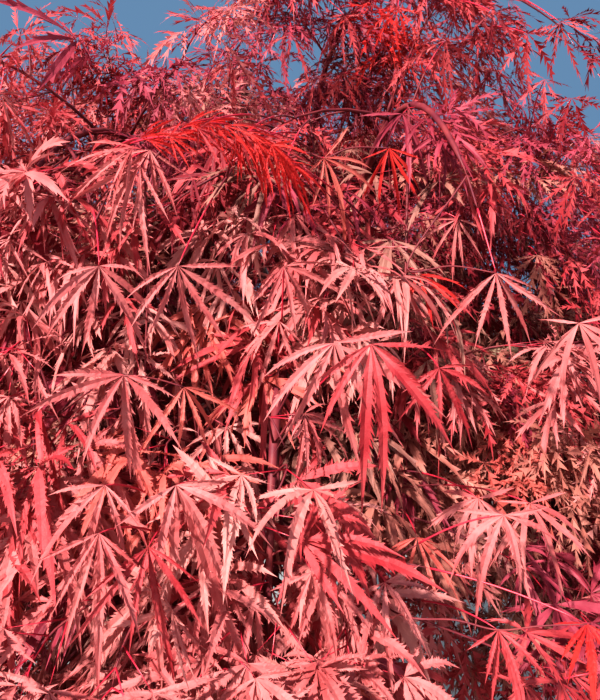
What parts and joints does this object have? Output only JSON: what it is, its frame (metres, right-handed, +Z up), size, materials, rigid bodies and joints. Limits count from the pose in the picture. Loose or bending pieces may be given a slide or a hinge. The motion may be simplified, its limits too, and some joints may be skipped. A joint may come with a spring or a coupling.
{
  "type": "potted japanese maple",
  "caption": "Weeping laceleaf maple tree with a domed crown of finely cut red leaves, standing in a plain tapered nursery pot.",
  "frame": {"origin": "centre of the flat underside of the pot, on the surface that it stands on", "axes": "+Z up along the pot's axis, -Y towards the side that is looked at, +X to the right of it"},
  "size_m": [1.6097, 1.6483, 1.5148],
  "materials": {
    "pot": "satin",
    "soil": "matte",
    "bark": "matte",
    "young_bark": "satin",
    "foliage": "satin"
  },
  "bodies": {
    "root": {"pot": "pot", "soil": "soil", "trunk": "bark", "bough_outer_1": "young_bark", "bough_outer_2": "young_bark", "bough_outer_3": "young_bark", "bough_outer_4": "young_bark", "bough_outer_5": "young_bark", "bough_outer_6": "young_bark", "bough_shoulder_1": "young_bark", "bough_shoulder_2": "young_bark", "bough_shoulder_3": "young_bark", "bough_shoulder_4": "young_bark", "bough_shoulder_5": "young_bark", "bough_shoulder_6": "young_bark", "bough_skirt_1": "young_bark", "bough_skirt_3": "young_bark", "bough_skirt_4": "young_bark", "bough_skirt_6": "young_bark", "bough_top_1": "young_bark", "bough_top_2": "young_bark", "bough_top_3": "young_bark", "bough_inner_1": "young_bark", "bough_inner_2": "young_bark", "bough_inner_3": "young_bark", "foliage_outer_1": "foliage", "foliage_outer_2": "foliage", "foliage_outer_3": "foliage", "foliage_outer_4": "foliage", "foliage_outer_5": "foliage", "foliage_outer_6": "foliage", "foliage_shoulder_1": "foliage", "foliage_shoulder_2": "foliage", "foliage_shoulder_3": "foliage", "foliage_shoulder_4": "foliage", "foliage_shoulder_5": "foliage", "foliage_shoulder_6": "foliage", "foliage_skirt_1": "foliage", "foliage_skirt_3": "foliage", "foliage_skirt_4": "foliage", "foliage_skirt_6": "foliage", "foliage_top_1": "foliage", "foliage_top_2": "foliage", "foliage_top_3": "foliage", "foliage_inner_1": "foliage", "foliage_inner_2": "foliage", "foliage_inner_3": "foliage"}
  },
  "joints": []
}
